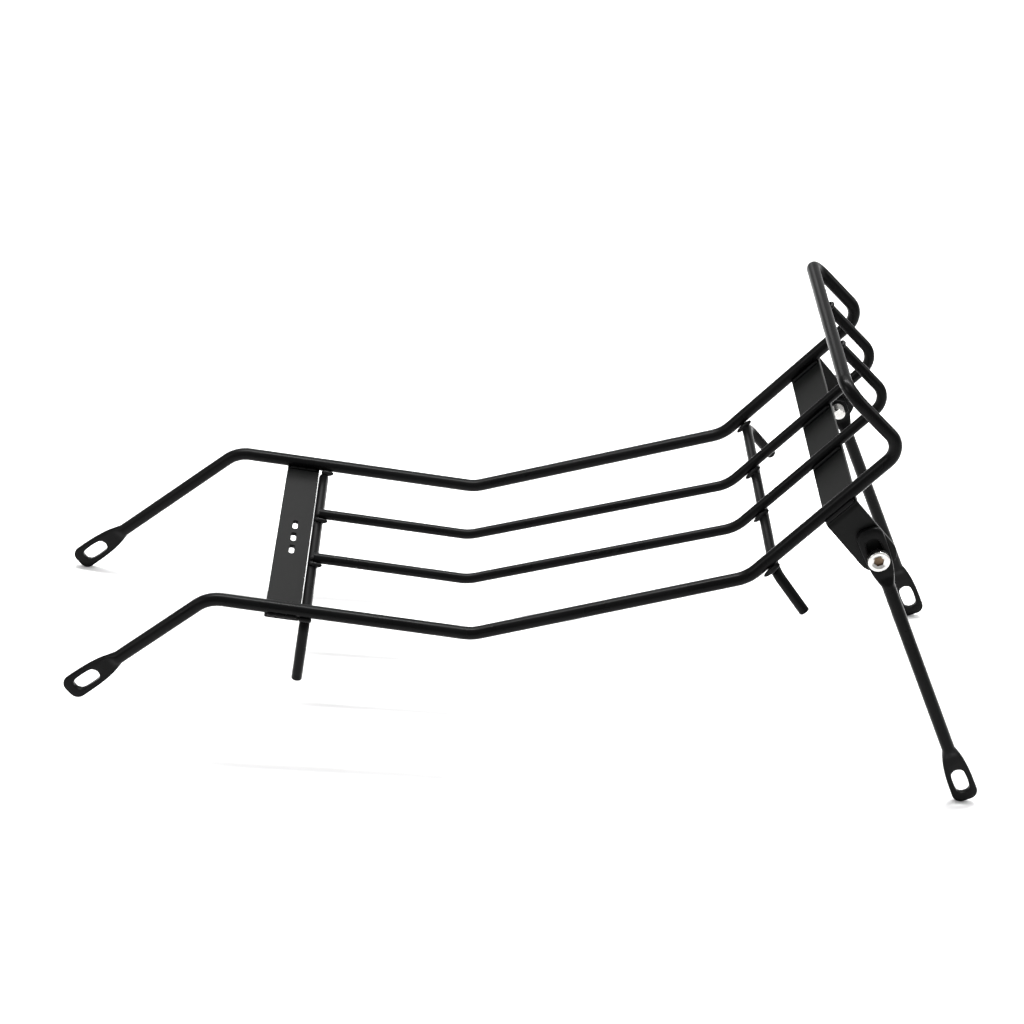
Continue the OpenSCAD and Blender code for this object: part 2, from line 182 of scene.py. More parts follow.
def forged_tab(bm, centre, towards_rod, outside):
    """Forges a slotted tab and returns the round ring where the rod starts."""
    across = outside.cross(towards_rod)
    half_t, round_r, lip = TAB_T / 2, 0.9, 0.5
    flat_x = TAB_NECK - TAPER_LEN

    def at(x, w, n):
        return centre + x * towards_rod + w * across + n * outside

    # the outline from one side of the neck round the blunt end to the other side
    side = [flat_x - (flat_x + CORNER_BACK) * i / 10 for i in range(11)]
    side = [(x, tab_half(x)) for x in side]
    for a in (15, 30, 45, 60, 75, 90):
        back, in_by = TAB_CORNER * sin(radians(a)), TAB_CORNER * (1 - cos(radians(a)))
        side.append((-CORNER_BACK - back, TAB_W / 2 - in_by))
    outline = side + [(x, -w) for x, w in reversed(side)]
    mouth_half = tab_half(flat_x)
    neck = [(flat_x, -mouth_half + 2 * mouth_half * i / FLAT_STEPS) for i in range(1, FLAT_STEPS)]
    loop = outline + neck

    def slot_edge(x, w, grow):
        """The point of the slot's edge that faces an outline point."""
        end = (SLOT_LEN - SLOT_W) / 2
        hub = max(-end, min(x * 0.55, end))
        spoke = Vector((x - hub, w)).normalized() * (SLOT_W / 2 + grow)
        return hub + spoke.x, spoke.y

    def drawn_in(x, w, by):
        """The outline point drawn in from the rim, but not from the neck."""
        if x >= flat_x - 0.01:
            return x, w * (1 - by / mouth_half)
        corner = TAB_W / 2 - TAB_CORNER
        hub = Vector((max(-CORNER_BACK, min(x, flat_x)), max(-corner, min(w, corner))))
        spoke = Vector((x, w)) - hub
        return tuple(hub + spoke * (1 - by / max(spoke.length, 0.01)))

    def face_row(n):
        return [at(*drawn_in(x, w, round_r), n) for x, w in loop]

    def slot_row(grow, n):
        return [at(*slot_edge(x, w, grow), n) for x, w in loop]

    # from the inner flat face through the slot, over both rounded lips, to the outer one
    lower = [bm.verts.new(p) for p in face_row(-half_t)]
    for i in range(len(lower)):
        bm.edges.new((lower[i - 1], lower[i]))
    row = lower
    for grow, n in ((lip, 0), (lip * 0.3, lip * 0.3), (0, lip)):
        row = drawn(bm, row, slot_row(grow, n - half_t))
    for grow, n in ((0, lip), (lip * 0.3, lip * 0.3), (lip, 0)):
        row = drawn(bm, row, slot_row(grow, half_t - n))
    upper = drawn(bm, row, face_row(half_t))

    # the rounded rim, an open chain of strips from face to face
    count = len(outline)
    chain, ends = upper[:count], [[], []]
    for step in range(1, RIM_STEPS + 1):
        a = pi * step / RIM_STEPS
        places = [at(*drawn_in(x, w, (1 - sin(a)) * round_r), cos(a) * half_t) for x, w in outline]
        chain = drawn(bm, chain, places, closed=False)
        if step < RIM_STEPS:
            ends[0].append(chain[0])
            ends[1].append(chain[-1])
    bmesh.ops.weld_verts(bm, targetmap=dict(zip(chain, lower[:count])))

    # the open mouth at the neck is drawn out until it is as round as the rod
    top = [upper[count - 1]] + upper[count:] + [upper[0]]
    bottom = [lower[0]] + list(reversed(lower[count:])) + [lower[count - 1]]
    mouth = top + ends[0] + bottom + list(reversed(ends[1]))
    middle = at(flat_x, 0, 0)
    flat = [((v.co - middle).dot(across), (v.co - middle).dot(outside)) for v in mouth]
    angles = [atan2(n / half_t, w / mouth_half) for w, n in flat]
    steps = 12
    for step in range(1, steps + 1):
        s = step / steps
        x = flat_x + (TAB_NECK - flat_x) * s
        blend, shoulder = s * s * (3 - 2 * s), max(0.0, (s - 0.25) / 0.75)
        shoulder = shoulder * shoulder * (3 - 2 * shoulder)
        places = []
        for (w, n), a in zip(flat, angles):
            wide = w / mouth_half + (cos(a) - w / mouth_half) * blend
            thick = n + (ROD_D / 2 * sin(a) - n) * shoulder
            places.append(at(x, wide * tab_half(x), thick))
        mouth = drawn(bm, mouth, places)
    return [bm.edges.get((mouth[i - 1], mouth[i])) for i in range(len(mouth))]


def grain_group():
    """Powder coat's fine pebbled skin: a height for the bump, and a slow change of tone."""
    group = bpy.data.node_groups.new("powder skin", "ShaderNodeTree")
    for name, value in (("Pebble size", 900.0), ("Pebble depth", 0.5), ("Patch size", 22.0)):
        socket = group.interface.new_socket(name, in_out="INPUT", socket_type="NodeSocketFloat")
        socket.default_value = value
    for name in ("Height", "Tone", "Specks"):
        group.interface.new_socket(name, in_out="OUTPUT", socket_type="NodeSocketFloat")
    nodes, links = group.nodes, group.links
    given, result = nodes.new("NodeGroupInput"), nodes.new("NodeGroupOutput")
    place = nodes.new("ShaderNodeTexCoord")
    pebble, orange, patch, speck = (nodes.new("ShaderNodeTexNoise") for _ in range(4))
    for tex in (pebble, orange, patch, speck):
        links.new(place.outputs["Object"], tex.inputs["Vector"])
    links.new(given.outputs["Pebble size"], pebble.inputs["Scale"])
    pebble.inputs["Detail"].default_value = 2.0
    wider = nodes.new("ShaderNodeMath")
    wider.operation = "MULTIPLY"
    wider.inputs[1].default_value = 0.3
    links.new(given.outputs["Pebble size"], wider.inputs[0])
    links.new(wider.outputs[0], orange.inputs["Scale"])
    orange.inputs["Detail"].default_value = 1.0
    links.new(given.outputs["Patch size"], patch.inputs["Scale"])
    patch.inputs["Detail"].default_value = 4.0
    speck.inputs["Scale"].default_value = 1500.0
    mix = nodes.new("ShaderNodeMath")
    mix.operation = "MULTIPLY_ADD"
    mix.inputs[1].default_value = 0.6
    links.new(orange.outputs["Fac"], mix.inputs[0])
    links.new(pebble.outputs["Fac"], mix.inputs[2])
    deep = nodes.new("ShaderNodeMath")
    deep.operation = "MULTIPLY"
    links.new(mix.outputs[0], deep.inputs[0])
    links.new(given.outputs["Pebble depth"], deep.inputs[1])
    links.new(deep.outputs[0], result.inputs["Height"])
    tone = nodes.new("ShaderNodeMapRange")
    tone.inputs["From Min"].default_value, tone.inputs["From Max"].default_value = 0.3, 0.7
    links.new(patch.outputs["Fac"], tone.inputs["Value"])
    links.new(tone.outputs[0], result.inputs["Tone"])
    spots = nodes.new("ShaderNodeMapRange")
    spots.inputs["From Min"].default_value, spots.inputs["From Max"].default_value = 0.68, 0.8
    links.new(speck.outputs["Fac"], spots.inputs["Value"])
    links.new(spots.outputs[0], result.inputs["Specks"])
    return group


POWDER_SKIN = grain_group()


def powder_coat(name, dark, light, rough, shine, depth, pebbles=900.0):
    """Satin black powder coat over steel, in tones from dark to light."""
    coat = bpy.data.materials.new(name)
    coat.use_nodes = True
    nodes, links = coat.node_tree.nodes, coat.node_tree.links
    shader = nodes["Principled BSDF"]
    shader.inputs["Specular IOR Level"].default_value = shine
    skin = nodes.new("ShaderNodeGroup")
    skin.node_tree = POWDER_SKIN
    skin.inputs["Pebble size"].default_value = pebbles
    skin.inputs["Pebble depth"].default_value = depth
    colour = nodes.new("ShaderNodeMix")
    colour.data_type = "RGBA"
    colour.inputs["A"].default_value = (*dark, 1)
    colour.inputs["B"].default_value = (*light, 1)
    links.new(skin.outputs["Tone"], colour.inputs["Factor"])
    specked = nodes.new("ShaderNodeMix")
    specked.data_type = "RGBA"
    specked.inputs["B"].default_value = (*(2.2 * c for c in light), 1)
    links.new(skin.outputs["Specks"], specked.inputs["Factor"])
    links.new(colour.outputs["Result"], specked.inputs["A"])
    links.new(specked.outputs["Result"], shader.inputs["Base Color"])
    gloss = nodes.new("ShaderNodeMapRange")
    gloss.inputs["To Min"].default_value, gloss.inputs["To Max"].default_value = rough - 0.05, rough + 0.06
    links.new(skin.outputs["Tone"], gloss.inputs["Value"])
    links.new(gloss.outputs[0], shader.inputs["Roughness"])
    bump = nodes.new("ShaderNodeBump")
    bump.inputs["Strength"].default_value = 0.35
    bump.inputs["Distance"].default_value = 0.0001
    links.new(skin.outputs["Height"], bump.inputs["Height"])
    links.new(bump.outputs["Normal"], shader.inputs["Normal"])
    return coat


BLACK_COAT = powder_coat(
    "satin black powder coat", (0.0016, 0.0016, 0.0017), (0.0032, 0.0032, 0.0033), 0.29, 0.07, 0.5
)


def finished(bm, name, body, nodes, material, even_faces=False, sharp=40):
    """Turns a mesh into a piece that rides on its body and stands for its CAD nodes."""
    bmesh.ops.remove_doubles(bm, verts=bm.verts, dist=0.0005)
    bmesh.ops.recalc_face_normals(bm, faces=bm.faces)
    stand_up(bm)
    mesh = bpy.data.meshes.new(name)
    bm.to_mesh(mesh)
    bm.free()
    mesh.shade_smooth()
    mesh.set_sharp_from_angle(angle=radians(sharp))
    piece = bpy.data.objects.new(name, mesh)
    bpy.context.scene.collection.objects.link(piece)
    mesh.materials.append(material)
    if even_faces:
        even = piece.modifiers.new("even faces", "WEIGHTED_NORMAL")
        even.keep_sharp = True
    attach(piece, body)
    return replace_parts(piece, *nodes)


LEFT_SLOT = ARM_BEND + 117.7 * along(180 + ARM)
RIGHT_SLOT = ARM_BEND + 153.3 * along(180 + ARM)
up_the_arm = along(ARM)

rod = bmesh.new()
left_ring = forged_tab(rod, beside(LEFT_SLOT, -RAIL_Y), up_the_arm, Vector((0, -1, 0)))
right_ring = forged_tab(rod, beside(RIGHT_SLOT, RAIL_Y), up_the_arm, Vector((0, 1, 0)))
bends = [ARM_BEND, DECK_BEND, STEEP_BEND, HOOK_BEND, TOP_BAR]
path = [beside(LEFT_SLOT + TAB_NECK * up_the_arm, -RAIL_Y)]
path += [beside(p, -RAIL_Y) for p in bends] + [beside(p, RAIL_Y) for p in reversed(bends)]
path += [beside(RIGHT_SLOT + TAB_NECK * up_the_arm, RAIL_Y)]
bend_radii = [0, 25, 30, 30, 15, 17, 17, 15, 30, 30, 25, 0]
last_ring = follow(rod, left_ring, path, bend_radii, stop=1.0)
bmesh.ops.bridge_loops(rod, edges=last_ring + right_ring)
finished(rod, "outer_rod_piece", "rack", ["outer_rod"], BLACK_COAT)

# ---------------------------------------------------------------- inner rods
# Two thinner 8 mm rods fill the deck. They are bent like the rails, a little earlier,
# sawn square in front, and butt-welded to the underside of the top bar behind.
INNER_D, INNER_Y, INNER_LEAD = 8.0, 34.3, 4.0
inner_drop = (ROD_D - INNER_D) / 2


def lowered(bend, before, after):
    """Where an inner rod bends, lower than the outer rod by the difference in radius."""
    half_turn = cos(radians((after - before) / 2))
    return bend + inner_drop / half_turn * below((before + after) / 2)


inner_deck = lowered(DECK_BEND, 0, RISE) - Vector((INNER_LEAD, 0, 0))
inner_steep = lowered(STEEP_BEND, RISE, STEEP) - INNER_LEAD * along(STEEP)
inner_hook = lowered(HOOK_BEND, STEEP, HOOK)
inner_end = inner_hook + (HOOK_LEN - ROD_D / 2 + 1) * along(HOOK)
FRONT_ROD = ARM_BEND + Vector((72.5, 0, -(ROD_D / 2 + 4.0 - 0.2)))
inner_start = Vector((FRONT_ROD.x, 0, -inner_drop))
for side, name in ((-1, "left_inner_rod"), (1, "right_inner_rod")):
    rod = bmesh.new()
    turns = (inner_start, inner_deck, inner_steep, inner_hook, inner_end)
    path = [beside(p, side * INNER_Y) for p in turns]
    first = edge_ring(rod, path[0] + Vector((0.6, 0, 0)), Vector((1, 0, 0)), INNER_D / 2)
    start = [path[0] + Vector((0.6, 0, 0))] + path[1:]
    last = follow(rod, first, start, [0, 30, 30, 15, 0])
    close_end(rod, first, Vector((-1, 0, 0)), INNER_D / 2, 0.6)
    bmesh.ops.edgeloop_fill(rod, edges=last)
    finished(rod, name + "_piece", "rack", [name], BLACK_COAT)

# ---------------------------------------------------------------- front plate
# A 26 mm wide, 3 mm steel plate under the rails, with three laser-cut round-ended holes in
# its middle. Its coat lies flatter than on the rods and shines a little more, and its colour is painted
# lighter as a painted reflection of the light above.
PLATE_W, PLATE_T, PLATE_OVER = 26.0, 3.0, 3.0
CUT_W, CUT_LEN, CUT_PITCH = 4.0, 13.0, 19.0
plate_rear = FRONT_ROD.x - 4.0 - 0.3
plate_top = -ROD_D / 2 + 0.2


def outline_edges(bm, points):
    verts = [bm.verts.new(p) for p in points]
    return [bm.edges.new((verts[i - 1], verts[i])) for i in range(len(verts))]


def softened(bm, size, steepness=50, segments=2):
    """Rounds every sharp edge a little, as tumbling and coating leave it."""
    sharp = [
        e for e in bm.edges
        if len(e.link_faces) == 2 and e.calc_face_angle(0) > radians(steepness)
    ]
    bmesh.ops.bevel(
        bm, geom=sharp, offset=size, offset_type="OFFSET", segments=segments,
        profile=0.5, affect="EDGES", material=-1, clamp_overlap=True,
    )


plate = bmesh.new()
front, back, half_w = plate_rear - PLATE_W, plate_rear, RAIL_Y + PLATE_OVER
low = plate_top - PLATE_T
CORNER = 2.0
rim = []
for cx, cy, start in ((back, half_w, 0), (front, half_w, 90), (front, -half_w, 180), (back, -half_w, 270)):
    for step in range(0, 91, 30):
        a = radians(start + step)
        hub_x = cx - CORNER if cx == back else cx + CORNER
        hub_y = cy - CORNER if cy > 0 else cy + CORNER
        rim.append(Vector((hub_x + CORNER * cos(a), hub_y + CORNER * sin(a), low)))
edges = outline_edges(plate, rim)
for i in (-1, 0, 1):
    hole = []
    for end in (1, -1):
        for step in range(0, 181, 20):
            a = radians(step + (0 if end > 0 else 180))
            hole.append(
                Vector((
                    (front + back) / 2 + CUT_W / 2 * cos(a),
                    i * CUT_PITCH + end * (CUT_LEN - CUT_W) / 2 + CUT_W / 2 * sin(a),
                    low,
                ))
            )
    edges += outline_edges(plate, hole)
bmesh.ops.triangle_fill(plate, use_beauty=True, use_dissolve=False, edges=edges)
bmesh.ops.dissolve_limit(plate, angle_limit=0.01, verts=plate.verts, edges=plate.edges)
raised = bmesh.ops.extrude_face_region(plate, geom=list(plate.faces), use_keep_orig=True)["geom"]
bmesh.ops.translate(
    plate, verts=[g for g in raised if isinstance(g, bmesh.types.BMVert)], vec=(0, 0, PLATE_T)
)
bmesh.ops.recalc_face_normals(plate, faces=plate.faces)
softened(plate, 0.4)
# painted reflection: the plate's black coat is painted lighter than the rods' coat, standing in for the
# light its flat top mirrors
PLATE_COAT_PAINTED_REFLECTION = powder_coat(
    "plate black powder coat with painted reflection", (0.0030, 0.0031, 0.0030), (0.0052, 0.0053, 0.0052), 0.36, 0.09, 0.45
)
finished(
    plate, "front_plate_piece", "rack", ["front_plate"], PLATE_COAT_PAINTED_REFLECTION,
    even_faces=True,
)

# ---------------------------------------------------------------- front cross rod
# An 8 mm rod behind the plate, under the rails. Both ends turn down into pegs that keep
# the cords of the luggage from slipping; their ends are filed round.
CROSS_D = 8.0


def pegged_rod(name, centre, bend_y, peg_dir, peg_len, bend_r):
    rod = bmesh.new()
    left_dir = Vector((peg_dir.x, -peg_dir.y, peg_dir.z))
    left, right = beside(centre, -bend_y), beside(centre, bend_y)
    edge = 1.0
    left_end = left + (peg_len - edge) * left_dir
    right_end = right + (peg_len - edge) * peg_dir
    first = edge_ring(rod, left_end, -left_dir, CROSS_D / 2)
    last = follow(rod, first, [left_end, left, right, right_end], [0, bend_r, bend_r, 0])
    close_end(rod, first, left_dir, CROSS_D / 2, edge)
    close_end(rod, last, peg_dir, CROSS_D / 2, edge)
    finished(rod, name + "_piece", "rack", [name], BLACK_COAT)


pegged_rod("front_cross_rod", FRONT_ROD, RAIL_Y, Vector((0, 0, -1)), 51.0, 9.0)

# ---------------------------------------------------------------- middle cross rod
# A second 8 mm rod under the steep slope. Its pegs point back and lean outwards,
# bent in one stroke, so cords hook over them from behind.
MID_ROD = STEEP_BEND + 18.0 * along(STEEP) + (ROD_D / 2 + CROSS_D / 2 - 0.2) * below(STEEP)
peg_fall, peg_splay = radians(44), radians(12)
mid_peg = Vector((cos(peg_splay) * cos(peg_fall), sin(peg_splay), -cos(peg_splay) * sin(peg_fall)))
pegged_rod("mid_cross_rod", MID_ROD, RAIL_Y + 1, mid_peg, 39.5, 12.0)

# ---------------------------------------------------------------- rear strap
# A 28.6 mm wide, 3 mm steel strap across the steep slope. Its ends are folded down into
# round-ended ears, drilled for the pivot bolts, and welded to all four rods.
STRAP_POS, STRAP_W, STRAP_T = 70.8, 28.6, 3.0
EAR_DROP, EAR_LEAN, EAR_BEND = 48.8, radians(6), 2.0
strap_top = ROD_D / 2 - 0.2
ear_y = RAIL_Y + ROD_D / 2 + 2.7
bend_out = EAR_BEND + STRAP_T
ear_start = strap_top + bend_out
bolt_s = STRAP_POS + STRAP_W / 2 - (EAR_DROP - ear_start) * tan(EAR_LEAN)
ear_r = STRAP_W * cos(EAR_LEAN) / 2


def on_steep(s, h, y=0.0):
    """A point s along the steep slope and h below the rods' middle line."""
    return beside(STEEP_BEND + s * along(STEEP) + h * below(STEEP), y)


strap = bmesh.new()
ear = [(STRAP_POS, ear_start)]
for step in range(0, 181, 12):
    a = radians(180 - step) + EAR_LEAN
    ear.append((bolt_s + ear_r * cos(a), EAR_DROP + ear_r * sin(a)))
ear.append((STRAP_POS + STRAP_W, ear_start))
outer = outline_edges(strap, [on_steep(s, h, ear_y) for s, h in ear])
hole = outline_edges(
    strap,
    [
        on_steep(bolt_s + 5.3 * cos(2 * pi * i / 32), EAR_DROP + 5.3 * sin(2 * pi * i / 32), ear_y)
        for i in range(32)
    ],
)
bmesh.ops.triangle_fill(strap, use_beauty=True, edges=outer + hole)
fold = [outer[0]]
made = bmesh.ops.spin(
    strap,
    geom=fold + corners(fold),
    cent=on_steep(0, ear_start, ear_y - bend_out),
    axis=along(STEEP),
    angle=pi / 2,
    steps=8,
    use_duplicate=False,
)["geom_last"]
fold = [g for g in made if isinstance(g, bmesh.types.BMEdge)]
fold = pull(strap, fold, Vector((0, -(ear_y - bend_out), 0)))
half = list(strap.faces) + list(strap.edges) + list(strap.verts)
bmesh.ops.mirror(strap, geom=half, axis="Y", merge_dist=0.001)
bmesh.ops.remove_doubles(strap, verts=strap.verts, dist=0.001)
bmesh.ops.recalc_face_normals(strap, faces=strap.faces)
if sum(f.normal.dot(below(STEEP)) * f.calc_area() for f in strap.faces if abs(f.normal.y) < 0.1) > 0:
    bmesh.ops.reverse_faces(strap, faces=strap.faces)
bmesh.ops.solidify(strap, geom=list(strap.faces), thickness=STRAP_T)
bmesh.ops.recalc_face_normals(strap, faces=strap.faces)
softened(strap, 0.45)
# painted reflection: the strap's black coat is painted lighter than the rods' coat, standing in for the
# light its flat faces mirror
STRAP_COAT_PAINTED_REFLECTION = powder_coat(
    "strap black powder coat with painted reflection", (0.0024, 0.0026, 0.0024), (0.0044, 0.0046, 0.0044), 0.36, 0.09, 0.5
)
finished(
    strap, "rear_strap_piece", "rack", ["rear_strap"], STRAP_COAT_PAINTED_REFLECTION,
    even_faces=True,
)

# ---------------------------------------------------------------- weld nuts
# A plain M10 nut is welded to each ear's inner face and coated with the carrier,
# so the pivot bolt can be turned in from outside.
NUT_W, NUT_H = 16.0, 8.0
bolt_axis = on_steep(bolt_s, EAR_DROP)
for side, name in ((-1, "left_weld_nut"), (1, "right_weld_nut")):
    nut = bmesh.new()
    inward = Vector((0, -side, 0))
    seat = beside(bolt_axis, side * (ear_y - STRAP_T))
    place = Matrix.Translation(seat) @ Matrix.Rotation(radians(side * 90), 4, "X")
    across_corners = NUT_W / 2 / cos(pi / 6)
    outer = outline_edges(
        nut,
        [
            place @ Vector((across_corners * cos(i * pi / 3), across_corners * sin(i * pi / 3), 0))
            for i in range(6)
        ],
    )
    bore = outline_edges(
        nut, [place @ Vector((5.08 * cos(i * pi / 16), 5.08 * sin(i * pi / 16), 0)) for i in range(32)]
    )
    bmesh.ops.triangle_fill(nut, use_beauty=True, edges=outer + bore)
    raised = bmesh.ops.extrude_face_region(nut, geom=list(nut.faces), use_keep_orig=True)["geom"]
    bmesh.ops.translate(
        nut, verts=[g for g in raised if isinstance(g, bmesh.types.BMVert)], vec=NUT_H * inward
    )
    bmesh.ops.recalc_face_normals(nut, faces=nut.faces)
    softened(nut, 0.7, steepness=40, segments=3)
    finished(
        nut, name + "_piece", "rack", [name], BLACK_COAT, even_faces=True
    )

# ---------------------------------------------------------------- pivot bolts
# A zinc plated M10 bolt with a low round head and a hexagon socket holds each strut.
# The socket's walls keep their dull, slightly brown heat colour; the thread's end shows inside.
BOLT_D, BOLT_LEN, HEAD_D, HEAD_H, KEY_W, KEY_DEEP = 10.0, 25.0, 16.0, 6.0, 7.0, 3.5
THREAD_PITCH, THREAD_DEEP = 1.5, 0.75
SLIDE_GAP = 0.3
head_y = ear_y + 2 * SLIDE_GAP + TAB_T


def turned_steel(name, tint, shade, rough, rings):
    """Plated steel with the fine rings that the lathe leaves."""
    steel = bpy.data.materials.new(name)
    steel.use_nodes = True
    nodes, links = steel.node_tree.nodes, steel.node_tree.links
    shader = nodes["Principled BSDF"]
    shader.inputs["Metallic"].default_value = 1.0
    place, ripple, cloud = (
        nodes.new("ShaderNodeTexCoord"), nodes.new("ShaderNodeTexNoise"), nodes.new("ShaderNodeTexNoise")
    )
    squeeze = nodes.new("ShaderNodeMapping")
    squeeze.inputs["Scale"].default_value = (1.0, rings, 1.0)
    links.new(place.outputs["Object"], squeeze.inputs["Vector"])
    links.new(squeeze.outputs[0], ripple.inputs["Vector"])
    links.new(place.outputs["Object"], cloud.inputs["Vector"])
    ripple.inputs["Scale"].default_value = 180.0
    cloud.inputs["Scale"].default_value = 260.0
    cloud.inputs["Detail"].default_value = 5.0
    colour = nodes.new("ShaderNodeMix")
    colour.data_type = "RGBA"
    colour.inputs["A"].default_value = (*tint, 1)
    colour.inputs["B"].default_value = (*shade, 1)
    links.new(cloud.outputs["Fac"], colour.inputs["Factor"])
    links.new(colour.outputs["Result"], shader.inputs["Base Color"])
    gloss = nodes.new("ShaderNodeMapRange")
    gloss.inputs["To Min"].default_value, gloss.inputs["To Max"].default_value = rough - 0.07, rough + 0.12
    links.new(cloud.outputs["Fac"], gloss.inputs["Value"])
    links.new(gloss.outputs[0], shader.inputs["Roughness"])
    bump = nodes.new("ShaderNodeBump")
    bump.inputs["Strength"].default_value = 0.25
    bump.inputs["Distance"].default_value = 0.00008
    links.new(ripple.outputs["Fac"], bump.inputs["Height"])
    links.new(bump.outputs["Normal"], shader.inputs["Normal"])
    return steel


BRIGHT = turned_steel("bright zinc plated steel", (0.74, 0.73, 0.71), (0.52, 0.51, 0.49), 0.20, 6.0)
BROWNED = turned_steel("browned socket steel", (0.13, 0.085, 0.05), (0.26, 0.19, 0.13), 0.42, 2.0)

for side, name, body in ((-1, "left_pivot_bolt", "left_bolt"), (1, "right_pivot_bolt", "right_bolt")):
    bolt = bmesh.new()
    sides = 48
    # the turned outside: from the shank's root out under the head and over its rounded rim
    profile = [(3.0, BOLT_LEN), (4.0, BOLT_LEN), (BOLT_D / 2 - THREAD_DEEP, BOLT_LEN - 0.4)]
    profile += [(BOLT_D / 2 - THREAD_DEEP, 9.0), (BOLT_D / 2, 8.2)]
    profile += [(BOLT_D / 2, 0.4), (BOLT_D / 2 + 0.4, 0)]
    profile += [(HEAD_D / 2 - 0.4, 0), (HEAD_D / 2 - 0.1, -0.1), (HEAD_D / 2, -0.4)]
    profile += [
        (HEAD_D / 2 - 1.0 + cos(a) * 1.0, -(HEAD_H - 1.0) - sin(a) * 1.0)
        for a in (0, 0.26, 0.52, 0.79, 1.05, 1.31, pi / 2)
    ]
    profile += [(KEY_W / 2 / cos(pi / 6) + 1.6, -HEAD_H), (KEY_W / 2 / cos(pi / 6) + 1.35, -HEAD_H + 0.12)]
    line = [bolt.verts.new((r, 0, z)) for r, z in profile]
    chain = [bolt.edges.new((a, b)) for a, b in zip(line, line[1:])]
    bmesh.ops.spin(
        bolt, geom=line + chain, cent=(0, 0, 0), axis=(0, 0, 1), angle=2 * pi, steps=sides, use_merge=True
    )
    tip = [e for e in bolt.edges if e.is_boundary and e.verts[0].co.z > BOLT_LEN - 0.1]
    bmesh.ops.edgeloop_fill(bolt, edges=tip)
    mouth = [e for e in bolt.edges if e.is_boundary]

    def to_hexagon(verts, width, z):
        for v in verts:
            a = atan2(v.co.y, v.co.x)
            off = (a + pi / 6) % (pi / 3) - pi / 6
            reach = width / 2 / cos(off)
            v.co = Vector((reach * cos(a), reach * sin(a), z))

    mouth = pull(bolt, mouth, Vector())
    to_hexagon(corners(mouth), KEY_W, -HEAD_H + 1.3)
    wall = pull(bolt, mouth, Vector())
    to_hexagon(corners(wall), KEY_W, -HEAD_H + KEY_DEEP)
    floor_ring = pull(bolt, wall, Vector())
    for v in corners(floor_ring):
        v.co = Vector((v.co.x * 0.15, v.co.y * 0.15, -HEAD_H + KEY_DEEP + 1.2))
    bmesh.ops.edgeloop_fill(bolt, edges=floor_ring)
    # the thread: one ridge wound round the shank, running out at both ends
    turns = (BOLT_LEN - 9.6) / THREAD_PITCH
    per_turn = 32
    root = BOLT_D / 2 - THREAD_DEEP
    tooth = [(root - 0.2, -0.66), (root, -0.60), (BOLT_D / 2, -0.10)]
    tooth += [(BOLT_D / 2, 0.10), (root, 0.60), (root - 0.2, 0.66)]
    ridge = [bolt.verts.new((r, 0, 9.0 + z)) for r, z in tooth]
    ridge_ring = [bolt.edges.new((ridge[i - 1], ridge[i])) for i in range(len(ridge))]
    steps = int(turns * per_turn)
    made = bmesh.ops.spin(
        bolt, geom=ridge + ridge_ring, cent=(0, 0, 0), axis=(0, 0, 1), angle=2 * pi * steps / per_turn,
        steps=steps, dvec=(0, 0, THREAD_PITCH / per_turn), use_duplicate=False,
    )["geom_last"]
    bmesh.ops.edgeloop_fill(bolt, edges=ridge_ring)
    bmesh.ops.edgeloop_fill(bolt, edges=[g for g in made if isinstance(g, bmesh.types.BMEdge)])
    for v in bolt.verts:
        radius = (v.co.x ** 2 + v.co.y ** 2) ** 0.5
        limit = min(BOLT_D / 2, root + (BOLT_LEN - 0.1 - v.co.z) * 0.9)
        if v.co.z > 8.5 and radius > limit > 1:
            v.co.x, v.co.y = v.co.x * limit / radius, v.co.y * limit / radius
    turned = Matrix.Rotation(radians(side * 90), 4, "X")
    place = Matrix.Translation(beside(bolt_axis, side * head_y)) @ turned
    for f in bolt.faces:
        middle = f.calc_center_median()
        if middle.to_2d().length < KEY_W / 2 + 0.75 and -HEAD_H + 0.4 < middle.z < 0:
            f.material_index = 1
    bmesh.ops.transform(bolt, verts=bolt.verts, matrix=place)
    piece = finished(bolt, name + "_piece", body, [name], BRIGHT, even_faces=True, sharp=35)
    piece.data.materials.append(BROWNED)

# ---------------------------------------------------------------- struts
# Each strut is a straight 10 mm rod, forged flat and slotted at both ends like the arms.
# The lower tab stands 10 mm further out, and the upper slot lets the strut slide on its bolt.
STRUT, STRUT_LEN, SPREAD = -59.1, 210.5, 10.0
bolt_seat = (SLOT_LEN - BOLT_D) / 2 - SLIDE_GAP
strut_dir = along(STRUT)
strut_top = bolt_axis - bolt_seat * strut_dir
strut_foot = strut_top + STRUT_LEN * strut_dir
tab_y = ear_y + SLIDE_GAP + TAB_T / 2
for side, name in ((-1, "left_strut"), (1, "right_strut")):
    strut = bmesh.new()
    outwards = Vector((0, side, 0))
    top_c, foot_c = beside(strut_top, side * tab_y), beside(strut_foot, side * (tab_y + SPREAD))
    top_ring = forged_tab(strut, top_c, strut_dir, outwards)
    foot_ring = forged_tab(strut, foot_c, -strut_dir, outwards)
    run = (foot_c - TAB_NECK * strut_dir) - (top_c + TAB_NECK * strut_dir)
    near = pull(strut, top_ring, run * 0.02)
    far = pull(strut, foot_ring, run * -0.02)
    bmesh.ops.bridge_loops(strut, edges=near + far)
    finished(strut, name + "_piece", name, [name], BLACK_COAT)

# ---------------------------------------------------------------- welds
# Short runs of weld join the rods to the plate, the cross rods, the strap and the top bar.
# Each run is a row of overlapping ripples, coated black with the rest.
WELD_COAT = powder_coat(
    "coated weld", (0.0018, 0.0018, 0.0019), (0.0035, 0.0035, 0.0036), 0.33, 0.12, 1.2, pebbles=500.0
)


